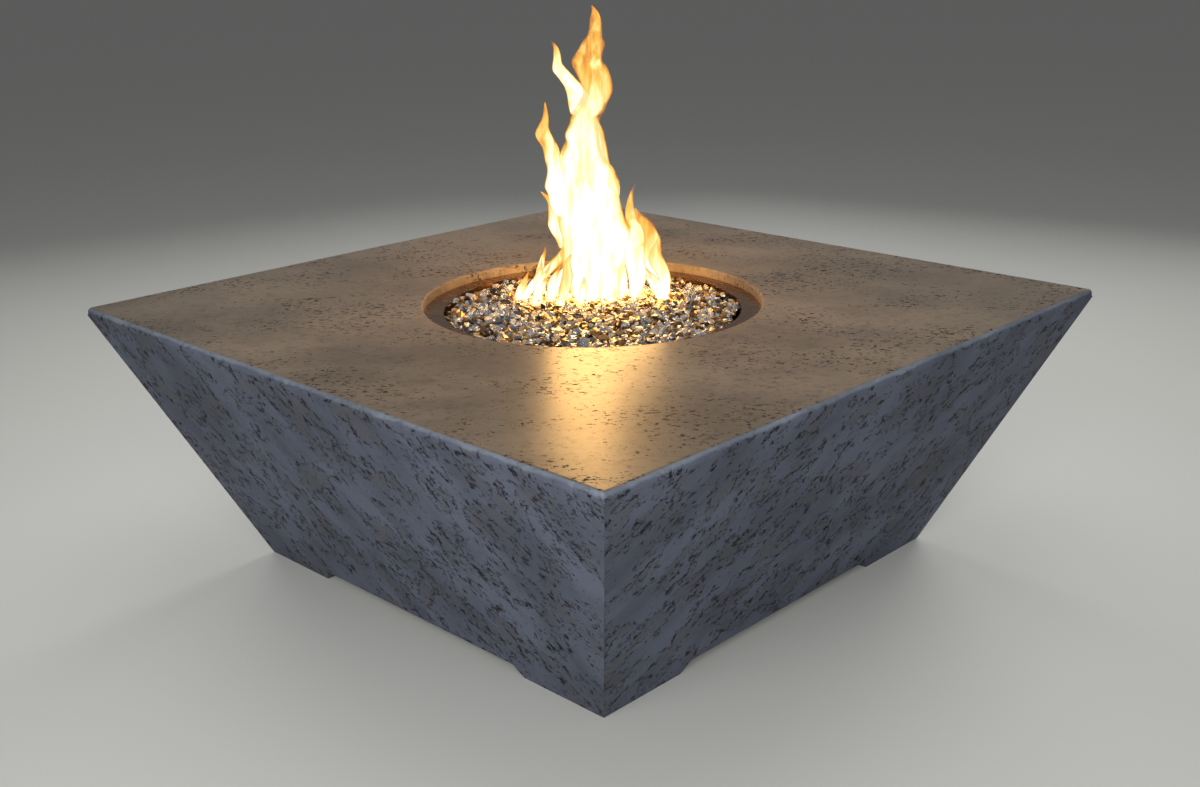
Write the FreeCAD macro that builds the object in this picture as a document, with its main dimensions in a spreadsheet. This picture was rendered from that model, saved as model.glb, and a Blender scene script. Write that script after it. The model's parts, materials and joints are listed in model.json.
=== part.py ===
"""Square concrete fire pit table with a drop-in gas burner, as a parametric document.

The table stands on z = 0 with its origin under the centre of the body. -Y and +X are the two
faces that are seen most, and the +Y face carries the control panel. Lengths are millimetres.
"""

import FreeCAD, Part
import math
import os
import random

import Sketcher
from FreeCAD import Placement, Rotation, Vector

doc = FreeCAD.newDocument("FirePitTable")

# Driving dimensions, written once. The sheet holds them and the features are bound to it.
SIZES = [
    ("top_width", 1320, "width of the square top"),
    ("base_width", 894, "width of the body at the floor"),
    ("height", 500, "floor to the top surface"),
    ("lip_height", 13, "upright band round the top"),
    ("lip_round", 8, "rounding of the lip"),
    ("slab", 38, "thickness of the cast top"),
    ("wall", 24, "thickness of the cast walls, square to them"),
    ("notch_low", 536, "length of a shadow notch at the floor"),
    ("notch_high", 504, "length of a shadow notch at its top"),
    ("notch_rise", 23, "height of a shadow notch"),
    ("rim_width", 626, "diameter of the recess that holds the pan"),
    ("rim_depth", 17.5, "depth of that recess"),
    ("rim_bevel", 3, "bevel of the recess's edge"),
    ("hole_width", 584, "diameter of the hole through the top"),
    ("boss_width", 700, "diameter of the thickened ring under the top"),
    ("boss_depth", 20, "depth of that ring below the slab"),
    ("flange_width", 618, "diameter of the pan's flange"),
    ("pan_width", 553, "outer diameter of the pan's wall"),
    ("pan_depth", 75, "flange to the pan's floor"),
    ("sheet_steel", 1.5, "thickness of the pan"),
    ("pan_bend", 5, "slanted fold between the pan's wall and floor"),
    ("drain_width", 8, "drain hole"),
    ("drain_count", 6, "drain holes"),
    ("glass_edge", 10, "glass below the flange at the wall"),
    ("glass_crown", 7, "rise of the glass at its middle"),
    ("glass_room", 1.5, "room between the glass and the burner"),
    ("arm_width", 18, "burner arm, a tube"),
    ("arm_wall", 1.5, "wall of the arm"),
    ("arm_reach", 148, "centre to the end of an arm"),
    ("arm_count", 6, "arms of the star burner"),
    ("slot_width", 2, "gas slot across an arm"),
    ("slot_length", 8, "gas slot across an arm"),
    ("slot_first", 40, "centre to the first slot of an arm"),
    ("slot_pitch", 30, "slot to slot along an arm"),
    ("slot_count", 4, "slots of an arm"),
    ("burner_lift", 21, "burner centreline above the pan's floor"),
    ("hub_flats", 46, "burner hub across its flats"),
    ("hub_height", 26, "burner hub"),
    ("nipple_width", 21.3, "half-inch pipe"),
    ("pipe_bore", 15.8, "bore of half-inch pipe"),
    ("nipple_below", 37, "pipe below the pan"),
    ("locknut_flats", 32, "locknut across its flats"),
    ("locknut_height", 8, "locknut"),
    ("thread_room", 0.05, "radial room at a thread"),
    ("mixer_width", 28, "air mixer"),
    ("mixer_length", 65, "air mixer"),
    ("mixer_bore", 17, "bore of the air mixer"),
    ("thread_depth", 10, "pipe screwed into the mixer"),
    ("air_window", 9, "air window of the mixer"),
    ("jet_width", 8, "jet nozzle"),
    ("male_width", 16, "male end for a hose nut"),
    ("hose_width", 16, "flexible hose"),
    ("hose_straight", 85, "hose straight out of the valve's nut"),
    ("hose_rise", 165, "hose straight up into the orifice's nut"),
    ("hose_nut_flats", 24, "hose nut across its flats"),
    ("hose_nut_height", 18, "hose nut"),
    ("panel_height", 255, "centre of the control panel above the floor"),
    ("plate_wide", 240, "faceplate"),
    ("plate_high", 156, "faceplate"),
    ("plate_thick", 2, "faceplate"),
    ("plate_round", 8, "corner of the faceplate"),
    ("plate_gap", 3, "gap round the faceplate in its recess"),
    ("cutout_wide", 190, "cut-out through the rear wall"),
    ("cutout_high", 110, "cut-out through the rear wall"),
    ("screw_across", 216, "spacing of the faceplate screws, across"),
    ("screw_up", 128, "spacing of the faceplate screws, up the wall"),
    ("insert_width", 8, "threaded insert"),
    ("insert_length", 15, "threaded insert"),
    ("valve_across", -50, "valve axis on the panel"),
    ("igniter_across", 55, "igniter axis on the panel"),
    ("valve_wide", 44, "valve body"),
    ("valve_high", 50, "valve body"),
    ("valve_deep", 54, "valve body"),
    ("valve_corner", 9, "bevel of the valve body's corners"),
    ("boss_square", 20, "square boss round a gas port"),
    ("outlet_boss", 12, "outlet boss beyond the valve body"),
    ("inlet_boss", 8, "inlet boss beyond the valve body"),
    ("port_depth", 40, "gas ports behind the faceplate's front"),
    ("passage", 8, "gas passage in the valve"),
    ("valve_screw_up", 15, "valve screw from the valve axis"),
    ("plug_top", 8, "radius of the tapered plug, front"),
    ("plug_end", 6, "radius of the tapered plug, back"),
    ("plug_front", 16, "front of the plug behind the faceplate's front"),
    ("plug_back", 40, "back of the plug behind the faceplate's front"),
    ("running", 0.06, "radial clearance of a running fit"),
    ("loose", 0.35, "radial clearance of a loose fit"),
    ("stem_width", 8, "valve stem"),
    ("stem_reach", 20, "stem in front of the faceplate"),
    ("collar_width", 14, "stem collar"),
    ("collar_front", 3, "front of the collar behind the faceplate's front"),
    ("collar_back", 5, "back of the collar behind the faceplate's front"),
    ("knob_width", 45, "control knob"),
    ("knob_height", 22, "control knob"),
    ("knob_gap", 7, "knob's base in front of the faceplate"),
    ("knob_flutes", 12, "grip flutes of the knob"),
    ("flute_depth", 2, "grip flute"),
    ("magnet_width", 16, "safety magnet's thread"),
    ("magnet_length", 22, "safety magnet behind the valve"),
    ("barrel_width", 22, "igniter barrel"),
    ("barrel_length", 70, "igniter barrel behind the faceplate's front"),
    ("cell_width", 14.5, "AA cell"),
    ("cell_length", 50.5, "AA cell with its nub"),
    ("cell_front", 2, "nub of the cell behind the faceplate's front"),
    ("cap_width", 32, "igniter cap"),
    ("cap_height", 12.5, "igniter cap"),
    ("cap_foot", 2.5, "igniter cap in front of the faceplate"),
    ("button_width", 20, "igniter button"),
    ("button_front", 19, "face of the igniter button"),
    ("pilot_out", 180, "pilot group from the centre towards the rear"),
    ("pilot_pitch", 17, "pilot barrel to thermocouple and electrode"),
    ("pilot_port", 12, "pilot outlet from the valve axis"),
    ("pilot_boss", 10, "pilot outlet's boss above the valve body"),
    ("bracket_wide", 72, "pilot bracket"),
    ("bracket_deep", 36, "pilot bracket"),
    ("bracket_screw", 31, "bracket screw from the pilot"),
    ("pilot_tail", 14, "pilot parts below the pan's floor"),
    ("probe_width", 6, "thermocouple probe and ceramic sleeve"),
    ("lead_width", 3, "thermocouple lead and igniter wire"),
    ("lead_straight", 40, "lead or wire straight out of its unit"),
    ("lead_rise", 45, "lead or wire straight up to the pilot group"),
    ("pilot_pipe", 6, "pilot tube"),
    ("pipe_straight", 56, "pilot tube straight up from the valve"),
    ("pipe_rise", 52, "pilot tube straight up to the pilot"),
    ("glass_pitch", 23, "one facet of the glass's surface"),
    ("glass_bump", 5, "how far a facet's corner stands out or in"),
]

sheet = doc.addObject("Spreadsheet::Sheet", "Sizes")
for row, (name, value, note) in enumerate(SIZES, start=1):
    sheet.set(f"A{row}", note)
    sheet.set(f"B{row}", str(value))
    sheet.setAlias(f"B{row}", name)
doc.recompute()


class Size:
    """A number together with the sheet expression that gives it."""

    def __init__(self, number, text):
        self.number = number
        self.text = text

    def __add__(self, other):
        return joined(self, "+", other)

    def __radd__(self, other):
        return joined(other, "+", self)

    def __sub__(self, other):
        return joined(self, "-", other)

    def __rsub__(self, other):
        return joined(other, "-", self)

    def __mul__(self, other):
        return joined(self, "*", other)

    def __rmul__(self, other):
        return joined(other, "*", self)

    def __truediv__(self, other):
        return joined(self, "/", other)

    def __neg__(self):
        return joined(0, "-", self)


def sized(value):
    """Any number as a Size."""
    return value if isinstance(value, Size) else Size(float(value), f"({value:.9f})")


def joined(left, sign, right):
    """Two sizes in one expression."""
    left, right = sized(left), sized(right)
    number = {
        "+": left.number + right.number,
        "-": left.number - right.number,
        "*": left.number * right.number,
        "/": left.number / right.number if right.number else 0.0,
    }[sign]
    return Size(number, f"({left.text} {sign} {right.text})")


class Sheet:
    """The sheet's cells as Sizes, read by name."""

    def __getattr__(self, name):
        return Size(float(sheet.get(name)), f"Sizes.{name}")


S = Sheet()

# Levels that several pieces share.
lip_base = S.height - S.lip_height
lean = (S.top_width - S.base_width) / 2 / lip_base
LEAN = math.atan(lean.number)
slab_under = S.height - S.slab
seat = S.height - S.rim_depth
flange_top = seat + S.sheet_steel
pan_floor = flange_top - S.pan_depth
pan_under = pan_floor - S.sheet_steel
burner_level = pan_floor + S.burner_lift
mixer_foot = pan_under - S.nipple_below + S.thread_depth - S.mixer_length
orifice_foot = mixer_foot - 36

# Depths behind the faceplate's front.
valve_back = -S.plate_thick - S.valve_deep
cell_foot = -S.cell_front - S.cell_length

# The rear panel's own directions, on the sloping outer face of the rear wall.
panel_right = Vector(-1, 0, 0)
panel_up = Vector(0, math.sin(LEAN), math.cos(LEAN))
panel_out = Vector(0, math.cos(LEAN), -math.sin(LEAN))
panel_turn = Rotation(panel_right, panel_up, panel_out, "ZXY")
panel_centre = Vector(
    0,
    S.base_width.number / 2 + S.panel_height.number * lean.number,
    S.panel_height.number,
)
CORNERS = ((-1, -1), (1, -1), (1, 1), (-1, 1))


def upright(x=0, y=0, z=0):
    """A frame that stands upright at a point."""
    return Placement(Vector(sized(x).number, sized(y).number, sized(z).number), Rotation())


def on_panel(across, up=0, out=0):
    """A frame on the rear panel: x across, y up the wall, z out from the faceplate's front."""
    offset = Vector(sized(across).number, sized(up).number, sized(out).number)
    return Placement(panel_centre + panel_turn.multVec(offset), panel_turn)


def valve_outlet(beyond):
    """A point on the axis of the valve's outlet, some way beyond the valve body's side."""
    side = on_panel(S.valve_across - S.valve_wide / 2, 0, -S.port_depth).Base
    return side + Vector(sized(beyond).number, 0, 0)


def bind(thing, field, size):
    """Ties a property to a sheet expression."""
    thing.setExpression(field, sized(size).text)


def origin_part(owner, role):
    """One of a body's own planes or axes."""
    return [f for f in owner.Origin.OriginFeatures if f.Role == role][0]


def body(name, frame=None):
    """An empty body at its place."""
    made = doc.addObject("PartDesign::Body", name)
    made.Label = name
    if frame:
        made.Placement = frame
    return made


def sketch(owner, name, role="XY_Plane", offset=None, rise=None):
    """A sketch on one of the body's own planes, placed by an offset or raised along its normal."""
    made = owner.newObject("Sketcher::SketchObject", name)
    made.AttachmentSupport = (origin_part(owner, role), [""])
    made.MapMode = "FlatFace"
    if offset:
        made.AttachmentOffset = offset
    if rise is not None:
        bind(made, "AttachmentOffset.Base.z", rise)
    return made


def tie_point(made, index, end, x, y):
    """Holds one sketch point at two bound distances from the origin."""
    for kind, size in (("DistanceX", sized(x)), ("DistanceY", sized(y))):
        rule = Sketcher.Constraint(kind, -1, 1, index, end, size.number)
        bind(made, f"Constraints[{made.addConstraint(rule)}]", size)


def outline(made, points):
    """A closed outline through bound points."""
    first = made.GeometryCount
    spots = [Vector(sized(x).number, sized(y).number, 0) for x, y in points]
    count = len(spots)
    for i, spot in enumerate(spots):
        made.addGeometry(Part.LineSegment(spot, spots[(i + 1) % count]), False)
    for i, (x, y) in enumerate(points):
        following = first + (i + 1) % count
        made.addConstraint(Sketcher.Constraint("Coincident", first + i, 2, following, 1))
        tie_point(made, first + i, 1, x, y)
    return made


def rectangle(made, wide, high, x=0, y=0):
    """A rectangle about a point."""
    return outline(made, [(x + i * (wide / 2), y + j * (high / 2)) for i, j in CORNERS])


def circle(made, width, x=0, y=0):
    """A circle of a bound diameter about a bound point."""
    x, y, width = sized(x), sized(y), sized(width)
    shape = Part.Circle(Vector(x.number, y.number, 0), Vector(0, 0, 1), width.number / 2)
    index = made.addGeometry(shape, False)
    rule = made.addConstraint(Sketcher.Constraint("Diameter", index, width.number))
    bind(made, f"Constraints[{rule}]", width)
    tie_point(made, index, 3, x, y)
    return made


def hexagon(made, flats):
    """A hexagon across its flats."""
    corner = flats / math.sqrt(3)
    angles = [math.radians(30 + 60 * i) for i in range(6)]
    return outline(made, [(corner * math.cos(a), corner * math.sin(a)) for a in angles])


def fluted(made, width, depth, flutes):
    """A grip outline that steps in between its lobes."""
    points = []
    for i in range(4 * flutes):
        angle = 2 * math.pi * (i + 0.5) / (4 * flutes)
        reach = width / 2 if i % 4 < 2 else width / 2 - depth
        points.append((reach * math.cos(angle), reach * math.sin(angle)))
    return outline(made, points)


def feature(owner, kind, name, profile):
    """A feature on a sketch."""
    made = owner.newObject(f"PartDesign::{kind}", name)
    made.Profile = profile
    return made


def pad(owner, name, profile, length, down=False):
    """A sketch pushed out along its normal, or against it."""
    made = feature(owner, "Pad", name, profile)
    bind(made, "Length", length)
    made.Reversed = down
    return made


def pocket(owner, name, profile, depth=None, forward=False):
    """A sketch cut against its normal, along it, or both ways through everything."""
    made = feature(owner, "Pocket", name, profile)
    if depth is None:
        made.SideType = "Symmetric"
        made.Type = "ThroughAll"
    else:
        bind(made, "Length", depth)
        made.Reversed = forward
    return made


def turned(owner, name, points, kind="Revolution"):
    """A profile of radii and heights turned about the body's z axis."""
    profile = outline(sketch(owner, f"{name}_profile", "XZ_Plane"), points)
    made = feature(owner, kind, name, profile)
    made.ReferenceAxis = (profile, ["V_Axis"])
    made.Angle = 360
    return made


def around(owner, name, originals, count):
    """Features repeated round the body's z axis."""
    made = owner.newObject("PartDesign::PolarPattern", name)
    made.Originals = originals
    made.Axis = (origin_part(owner, "Z_Axis"), [""])
    made.Angle = 360
    made.Occurrences = int(count.number)
    owner.Tip = made
    return made


def dressed(owner, kind, name, base, size, wanted):
    """Rounds or bevels the base feature's edges that a test picks."""
    doc.recompute()
    names = [f"Edge{i}" for i, e in enumerate(base.Shape.Edges, start=1) if wanted(e)]
    if not names:
        raise RuntimeError(f"{name}: no edge to dress")
    made = owner.newObject(f"PartDesign::{kind}", name)
    made.Base = (base, names)
    bind(made, "Radius" if kind == "Fillet" else "Size", size)
    return made


def pyramid(owner, kind, name, low, high, rise):
    """A square block or hollow whose sides slope from one width to another."""
    made = owner.newObject(f"PartDesign::{kind}Wedge", name)
    made.AttachmentSupport = (origin_part(owner, "XZ_Plane"), [""])
    made.MapMode = "FlatFace"
    for axis in "XZ":
        bind(made, f"{axis}min", -low / 2)
        bind(made, f"{axis}max", low / 2)
        bind(made, f"{axis}2min", -high / 2)
        bind(made, f"{axis}2max", high / 2)
    bind(made, "Ymin", 0)
    bind(made, "Ymax", rise)
    return made


def solid(name, shape):
    """A piece whose shape the code works out from the sheet."""
    made = doc.addObject("Part::Feature", name)
    made.Label = name
    made.Shape = shape
    return made


def near(value, wanted, within=0.01):
    """Whether two numbers agree."""
    return abs(value - sized(wanted).number) < within


def ring_at(radius, height):
    """A test for the round edge of one radius at one height."""
    def wanted(edge):
        box = edge.BoundBox
        return near(box.ZMin, height) and near(box.ZMax, height) and near(box.XMax, radius)
    return wanted


def concrete_body():
    """Hollow cast body: sloping walls, upright lip, round seat for the pan, notches, rear cut-out."""
    made = body("concrete_body")
    pyramid(made, "Additive", "sloping_block", S.base_width, S.top_width, lip_base)
    lip = pad(made, "lip", rectangle(sketch(made, "lip_square", rise=lip_base), S.top_width, S.top_width),
              S.lip_height)
    half = S.top_width / 2

    def on_lip(edge):
        ends = [v.Point for v in edge.Vertexes]
        corner = all(near(abs(p.x), half) and near(abs(p.y), half) for p in ends)
        rising = corner and edge.BoundBox.ZLength < S.lip_height.number + 1
        outer = all(near(max(abs(p.x), abs(p.y)), half) for p in ends)
        return rising or (outer and all(near(p.z, S.height) for p in ends))

    dressed(made, "Fillet", "lip_rounding", lip, S.lip_round, on_lip)

    # The hollow keeps the slope, so it is narrower by the wall measured level.
    inner_low = S.base_width - 2 * (S.wall / math.cos(LEAN))
    inner_high = inner_low + 2 * slab_under * lean
    pyramid(made, "Subtractive", "hollow", inner_low, inner_high, slab_under)
    pad(made, "boss", circle(sketch(made, "boss_circle", rise=slab_under), S.boss_width),
        S.boss_depth, down=True)
    pocket(made, "burner_hole", circle(sketch(made, "hole_circle", rise=S.height), S.hole_width),
           S.slab + S.boss_depth)
    recess = pocket(made, "pan_recess",
                    circle(sketch(made, "recess_circle", rise=S.height), S.rim_width), S.rim_depth)
    dressed(made, "Chamfer", "rim_edge", recess, S.rim_bevel, ring_at(S.rim_width / 2, S.height))

    low, high = S.notch_low / 2, S.notch_high / 2
    notch = [(-low, 0), (low, 0), (high, S.notch_rise), (-high, S.notch_rise)]
    for role in ("XZ_Plane", "YZ_Plane"):
        name = f"notches_{role[:2].lower()}"
        pocket(made, name, outline(sketch(made, f"{name}_sketch", role), notch))

    frame = on_panel(0)
    gap = 2 * S.plate_gap
    recess = rectangle(sketch(made, "plate_recess_sketch", offset=frame),
                       S.plate_wide + gap, S.plate_high + gap)
    pocket(made, "plate_recess", recess, S.plate_thick)
    cutout = rectangle(sketch(made, "cutout_sketch", offset=frame), S.cutout_wide, S.cutout_high)
    pocket(made, "panel_cutout", cutout, S.wall * 2)
    holes = sketch(made, "insert_sketch", offset=frame)
    for i, j in CORNERS:
        circle(holes, S.insert_width, i * (S.screw_across / 2), j * (S.screw_up / 2))
    pocket(made, "insert_holes", holes, S.plate_thick + S.insert_length)
    return made


def burner_pan():
    """Drop-in pan folded from one sheet, with the pipe, pilot and drain holes in its floor."""
    made = body("burner_pan")
    steel = S.sheet_steel
    wall = S.pan_width / 2
    hole = S.nipple_width / 2 + S.loose
    fold = S.pan_bend
    turned(made, "sheet_form", [
        (hole, pan_under),
        (wall - fold, pan_under),
        (wall, pan_under + fold),
        (wall, seat),
        (S.flange_width / 2, seat),
        (S.flange_width / 2, flange_top),
        (wall - steel, flange_top),
        (wall - steel, pan_under + fold + steel / 2),
        (wall - fold - steel / 2, pan_floor),
        (hole, pan_floor),
    ])
    openings = sketch(made, "floor_openings", rise=pan_floor)
    rectangle(openings, 2 * S.pilot_pitch + 14, sized(24), 0, S.pilot_out)
    for side in (-1, 1):
        circle(openings, 3.4, side * S.bracket_screw, S.pilot_out)
    pocket(made, "pilot_openings", openings, steel)
    drain = circle(sketch(made, "drain_circle", rise=pan_floor), S.drain_width, wall - 40)
    around(made, "drains", [pocket(made, "drain", drain, steel)], S.drain_count)
    return made


def star_burner():
    """Six capped tube arms round a hexagonal hub, bored so that they open into it, gas slots on top."""
    made = body("star_burner", upright(z=burner_level))
    bore = S.arm_width - 2 * S.arm_wall
    hub = hexagon(sketch(made, "hub_hexagon", rise=-S.hub_height / 2), S.hub_flats)
    pad(made, "hub", hub, S.hub_height)
    arm = circle(sketch(made, "arm_circle", "YZ_Plane"), S.arm_width)
    around(made, "arms", [pad(made, "arm", arm, S.arm_reach)], S.arm_count)
    arm_bore = circle(sketch(made, "arm_bore_circle", "YZ_Plane"), bore)
    inside = pocket(made, "arm_bore", arm_bore, S.arm_reach - 2 * S.arm_wall, forward=True)
    slots = sketch(made, "slot_outlines", rise=S.arm_width / 2)
    for i in range(int(S.slot_count.number)):
        rectangle(slots, S.slot_width, S.slot_length, S.slot_first + i * S.slot_pitch)
    row = pocket(made, "slot_row", slots, S.arm_width / 2)
    around(made, "bored_arms", [inside, row], S.arm_count)
    half = S.hub_height / 2
    socket = S.nipple_width / 2 + S.thread_room
    turned(made, "hub_socket", [(0, -half), (socket, -half), (socket, 6), (0, 6)], kind="Groove")
    return made


def burner_nipple():
    """Threaded half-inch pipe between the mixer and the hub."""
    bottom = pan_under - S.nipple_below
    length = burner_level + 5 - bottom
    outer, bore = S.nipple_width / 2, S.pipe_bore / 2
    made = body("burner_nipple", upright(z=bottom))
    turned(made, "pipe", [(bore, 0), (outer, 0), (outer, length), (bore, length)])
    return made


def burner_locknuts():
    """One nut above and one below the pan's floor, clamping the nipple."""
    made = body("burner_locknuts")
    made.AllowCompound = True
    for name, start in (("upper", pan_floor), ("lower", pan_under - S.locknut_height)):
        nut = hexagon(sketch(made, f"{name}_hexagon", rise=start), S.locknut_flats)
        circle(nut, S.nipple_width + 2 * S.thread_room)
        pad(made, f"{name}_nut", nut, S.locknut_height)
    return made


def air_mixer():
    """Brass mixing tube: socket for the pipe above, bored foot for the jet, four air windows."""
    made = body("air_mixer", upright(z=mixer_foot))
    outer, bore = S.mixer_width / 2, S.mixer_bore / 2
    socket = S.nipple_width / 2 + S.thread_room
    jet_hole = S.jet_width / 2 + 3
    top = S.mixer_length
    turned(made, "casting", [
        (jet_hole, 0),
        (outer, 0),
        (outer, 26),
        (outer - 3, 32),
        (outer - 1, top),
        (socket, top),
        (socket, top - S.thread_depth),
        (bore, top - S.thread_depth),
        (bore, 6),
        (jet_hole, 6),
    ])
    window = rectangle(sketch(made, "window_sketch", "YZ_Plane"), S.air_window, S.air_window, 0, 16)
    first = pocket(made, "window", window, S.mixer_width, forward=True)
    around(made, "windows", [first], sized(4))
    return made


def gas_orifice():
    """Jet fitting: threaded spigot and nozzle above its hexagon, male end below it."""
    made = body("gas_orifice", upright(z=mixer_foot))
    spigot = S.jet_width / 2 + 3 - S.thread_room
    male = S.male_width / 2
    turned(made, "turned_form", [
        (2, -36), (male, -36), (male, 0), (spigot, 0), (spigot, 6), (S.jet_width / 2, 6), (2, 18), (1, 18),
        (1, 10), (2, 8),
    ])
    flats = circle(hexagon(sketch(made, "flats"), 22), S.jet_width)
    pad(made, "hexagon", flats, 12, down=True)
    return made


def hose_nuts():
    """The two swivel nuts, on the orifice and on the valve's outlet."""
    made = body("hose_nuts")
    made.AllowCompound = True
    sideways = Rotation(Vector(0, 0, 1), Vector(1, 0, 0))
    places = {
        "orifice_nut": upright(z=orifice_foot - 4),
        "valve_nut": Placement(valve_outlet(S.outlet_boss), sideways),
    }
    for name, frame in places.items():
        nut = hexagon(sketch(made, f"{name}_hexagon", offset=frame), S.hose_nut_flats)
        circle(nut, S.male_width + 2 * S.thread_room)
        pad(made, name, nut, S.hose_nut_height)
    return made


def control_panel():
    """Steel faceplate with holes for the stem, the igniter and the screws."""
    made = body("control_panel", on_panel(0))
    plate = rectangle(sketch(made, "plate_outline"), S.plate_wide, S.plate_high)
    blank = pad(made, "plate", plate, S.plate_thick, down=True)

    def corner(edge):
        return near(edge.Length, S.plate_thick)

    dressed(made, "Fillet", "corner_rounding", blank, S.plate_round, corner)
    holes = sketch(made, "plate_holes")
    circle(holes, S.stem_width + 2, S.valve_across)
    circle(holes, S.barrel_width + 2 * S.loose, S.igniter_across)
    for side in (-1, 1):
        circle(holes, 4.3, S.valve_across, side * S.valve_screw_up)
    for i, j in CORNERS:
        circle(holes, 5.4, i * (S.screw_across / 2), j * (S.screw_up / 2))
    pocket(made, "plate_piercing", holes, S.plate_thick)
    return made


def screws(name, frame, spots, thread, length, head, head_height):
    """Pan-head screws, one solid each: the frame's plane is under their heads."""
    made = body(name, frame)
    made.AllowCompound = True
    for n, (x, y) in enumerate(spots):
        pad(made, f"shank_{n}", circle(sketch(made, f"shank_circle_{n}"), thread, x, y), length, down=True)
        pad(made, f"head_{n}", circle(sketch(made, f"head_circle_{n}"), head, x, y), head_height)
    return made


def panel_screws():
    """Four screws that hold the faceplate to the inserts."""
    spots = [(i * (S.screw_across / 2), j * (S.screw_up / 2)) for i, j in CORNERS]
    return screws("panel_screws", on_panel(0), spots, 5, 13, 9.5, 2.6)


def valve_screws():
    """Two screws through the faceplate into the valve body."""
    spots = [(0, side * S.valve_screw_up) for side in (-1, 1)]
    return screws("valve_screws", on_panel(S.valve_across), spots, 4, 12, 7, 2.4)


def pilot_screws():
    """Two screws that hold the bracket to the pan."""
    spots = [(side * S.bracket_screw, 0) for side in (-1, 1)]
    return screws("pilot_screws", upright(0, S.pilot_out, pan_floor + 1.5), spots, 3.3, 8, 7, 2.4)


def panel_inserts():
    """Four brass inserts cast into the rear wall."""
    made = body("panel_inserts", on_panel(0))
    made.AllowCompound = True
    rings = sketch(made, "insert_rings", rise=-S.plate_thick)
    for i, j in CORNERS:
        x = i * (S.screw_across / 2)
        y = j * (S.screw_up / 2)
        circle(rings, S.insert_width, x, y)
        circle(rings, 5.1, x, y)
    pad(made, "inserts", rings, S.insert_length, down=True)
    return made


def valve_body():
    """Cast valve block: tapered seat, spring chamber, magnet chamber, gas passages and bosses."""
    made = body("valve_body", on_panel(S.valve_across))
    wide, high = S.valve_wide / 2, S.valve_high / 2
    cut = S.valve_corner
    corners = []
    for i, j in CORNERS:
        along = (i * (wide - cut), j * high)
        upwards = (i * wide, j * (high - cut))
        corners += [along, upwards] if i * j < 0 else [upwards, along]
    block = outline(sketch(made, "block_outline", rise=-S.plate_thick), corners)
    pad(made, "block", block, S.valve_deep, down=True)
    side_port = rectangle(sketch(made, "outlet_square", "YZ_Plane"), S.boss_square, S.boss_square,
                          0, -S.port_depth)
    pad(made, "outlet_side", side_port, wide + S.outlet_boss, down=True)
    low_port = rectangle(sketch(made, "inlet_square", "XZ_Plane"), S.boss_square, S.boss_square,
                         0, -S.port_depth)
    pad(made, "inlet_side", low_port, high + S.inlet_boss)
    pilot_port = rectangle(sketch(made, "pilot_square", "XZ_Plane"), 11, 11, S.pilot_port, -S.port_depth)
    pad(made, "pilot_side", pilot_port, high + S.pilot_boss, down=True)
    chamber = S.plug_top + 0.5
    magnet = S.magnet_width / 2 + S.thread_room
    turned(made, "plug_seat", [
        (0, valve_back),
        (magnet, valve_back),
        (magnet, valve_back + 8),
        (S.plug_end + S.running, -S.plug_back),
        (S.plug_top + S.running, -S.plug_front),
        (chamber, -S.plug_front),
        (chamber, -S.plate_thick),
        (0, -S.plate_thick),
    ], kind="Groove")
    outlet = circle(sketch(made, "outlet_circle", "YZ_Plane"), S.passage, 0, -S.port_depth + 6)
    pocket(made, "outlet_passage", outlet, wide + S.outlet_boss)
    inlet = circle(sketch(made, "inlet_circle", "XZ_Plane"), S.passage, 0, -S.port_depth - 4)
    pocket(made, "inlet_passage", inlet, high + S.inlet_boss, forward=True)
    holes = sketch(made, "screw_holes", rise=-S.plate_thick)
    for side in (-1, 1):
        circle(holes, 4 + 2 * S.thread_room, 0, side * S.valve_screw_up)
    pocket(made, "tapped_holes", holes, sized(11))
    return made


def valve_plug():
    """Tapered plug with a cross window for the gas and a socket for the stem."""
    made = body("valve_plug", on_panel(S.valve_across))
    socket = S.stem_width / 2 + S.running
    turned(made, "cone", [
        (socket, -S.plug_back),
        (S.plug_end, -S.plug_back),
        (S.plug_top, -S.plug_front),
        (socket, -S.plug_front),
    ])
    window = rectangle(sketch(made, "window_sketch", "YZ_Plane"), 5, 6, 0, -S.plug_back + 7)
    pocket(made, "gas_window", window)
    return made


def valve_stem():
    """Stem: collar for the spring, flat for the knob, end that pushes the safety magnet."""
    made = body("valve_stem", on_panel(S.valve_across))
    r = S.stem_width / 2
    collar = S.collar_width / 2
    foot = -S.plug_back + 2
    turned(made, "shaft", [
        (0, foot),
        (r, foot),
        (r, -S.collar_back),
        (collar, -S.collar_back),
        (collar, -S.collar_front),
        (r, -S.collar_front),
        (r, S.stem_reach),
        (0, S.stem_reach),
    ])
    flat = rectangle(sketch(made, "flat_sketch", rise=S.stem_reach), S.stem_width * 2, 4, 0, r + 1)
    pocket(made, "flat", flat, S.stem_reach - S.knob_gap)
    return made


def spring(name, frame, width, wire, bottom, top):
    """A coil spring's space: a sleeve of the coil's own diameters, hidden in its chamber."""
    made = body(name, frame)
    outer = sized(width) / 2
    inner = outer - wire
    turned(made, "coil", [(inner, bottom), (outer, bottom), (outer, top), (inner, top)])
    return made


def magnet_unit():
    """Safety magnet screwed into the back of the valve, with the socket for the lead."""
    made = body("magnet_unit", on_panel(S.valve_across))
    r = S.magnet_width / 2
    turned(made, "case", [
        (0, valve_back + 6),
        (r, valve_back + 6),
        (r, valve_back),
        (r + 1.5, valve_back),
        (r + 1.5, valve_back - S.magnet_length + 6),
        (5, valve_back - S.magnet_length),
        (0, valve_back - S.magnet_length),
    ])
    return made


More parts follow.
